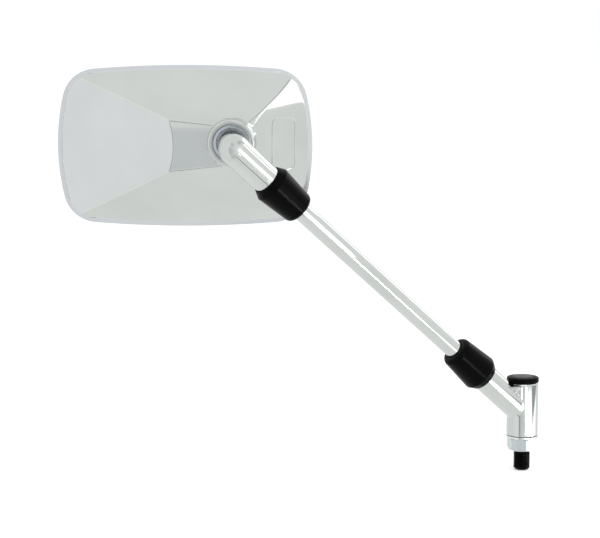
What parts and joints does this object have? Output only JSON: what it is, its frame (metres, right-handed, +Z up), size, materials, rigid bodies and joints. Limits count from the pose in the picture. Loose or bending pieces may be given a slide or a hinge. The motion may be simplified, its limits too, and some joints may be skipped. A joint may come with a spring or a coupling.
{
  "type": "motorcycle mirror",
  "caption": "Right-hand motorcycle handlebar mirror: rectangular chromed head with a faceted back on a ball joint, straight rod stem with rubber nut covers, swivel holder and threaded stud.",
  "frame": {"origin": "on the stud's axis, where its bare thread ends under the lock nut", "axes": "+Z up the stud, +Y the way the mirror glass faces (to the rear of the motorcycle), +X towards the middle of the motorcycle"},
  "size_m": [0.2868, 0.1026, 0.246],
  "materials": {
    "black_bolt": "black oxide, slightly glossy",
    "zinc_steel": "bright zinc plate",
    "bright_washer": "polished",
    "spring_steel": "oiled spring steel",
    "chrome_casting": "mirror chrome over a cast skin",
    "chrome_rod": "mirror chrome over a ground rod",
    "chrome_housing": "chrome plated moulding, softly mirror bright",
    "nylon": "natural nylon",
    "cap_plastic": "satin moulded",
    "black_rubber": "glossy moulded rubber",
    "seal_rubber": "matt moulded rubber",
    "foam_pad": "soft closed-cell foam",
    "mirror_glass": "silvered glass"
  },
  "bodies": {
    "base": {"pivot_bolt": "black_bolt", "lock_nut": "zinc_steel", "base_washer": "bright_washer", "thrust_washer": "zinc_steel", "disc_springs": "spring_steel"},
    "stem": {"holder_casting": "chrome_casting", "pivot_bush": "nylon", "stem_rod": "chrome_rod", "lower_lock_nut": "zinc_steel", "upper_lock_nut": "zinc_steel"},
    "cap": {"top_cap": "cap_plastic"},
    "lower_cover": {"lower_nut_cover": "black_rubber"},
    "upper_cover": {"upper_nut_cover": "black_rubber"},
    "elbow": {"elbow_neck": "chrome_casting"},
    "front_liner": {"front_ball_liner": "nylon"},
    "rear_liner": {"rear_ball_liner": "nylon"},
    "head": {"housing_shell": "chrome_housing", "rear_ball_seat": "nylon", "seat_spring": "spring_steel", "clamp_plate": "zinc_steel", "clamp_screws": "zinc_steel", "backing_pad": "foam_pad", "mirror_glass": "mirror_glass", "glass_seal": "seal_rubber"}
  },
  "joints": [
    {"name": "holder_swivel", "type": "hinge", "parent": "base", "child": "stem", "pos_m": [0, 0, 0.02], "axis": [0, 0, 1], "continuous": true},
    {"name": "cap_pull", "type": "slide", "parent": "stem", "child": "cap", "axis": [0, 0, 1], "range_m": [0, 0.012]},
    {"name": "lower_cover_slide", "type": "slide", "parent": "stem", "child": "lower_cover", "axis": [-0.6814, -0.3323, 0.6521], "range_m": [0, 0.045]},
    {"name": "upper_cover_slide", "type": "slide", "parent": "stem", "child": "upper_cover", "axis": [0.6814, 0.3323, -0.6521], "range_m": [0, 0.045]},
    {"name": "elbow_turn", "type": "hinge", "parent": "stem", "child": "elbow", "pos_m": [-0.17444, -0.08508, 0.19044], "axis": [-0.6814, -0.3323, 0.6521], "range_deg": [-30, 30]},
    {"name": "head_pan", "type": "hinge", "parent": "elbow", "child": "front_liner", "pos_m": [-0.17444, -0.05108, 0.19044], "axis": [0, 0, 1], "range_deg": [-12, 12]},
    {"name": "head_roll", "type": "hinge", "parent": "front_liner", "child": "rear_liner", "pos_m": [-0.17444, -0.05108, 0.19044], "axis": [0, 1, 0], "range_deg": [-30, 30]},
    {"name": "head_tilt", "type": "hinge", "parent": "rear_liner", "child": "head", "pos_m": [-0.17444, -0.05108, 0.19044], "axis": [1, 0, 0], "range_deg": [-12, 12]}
  ]
}
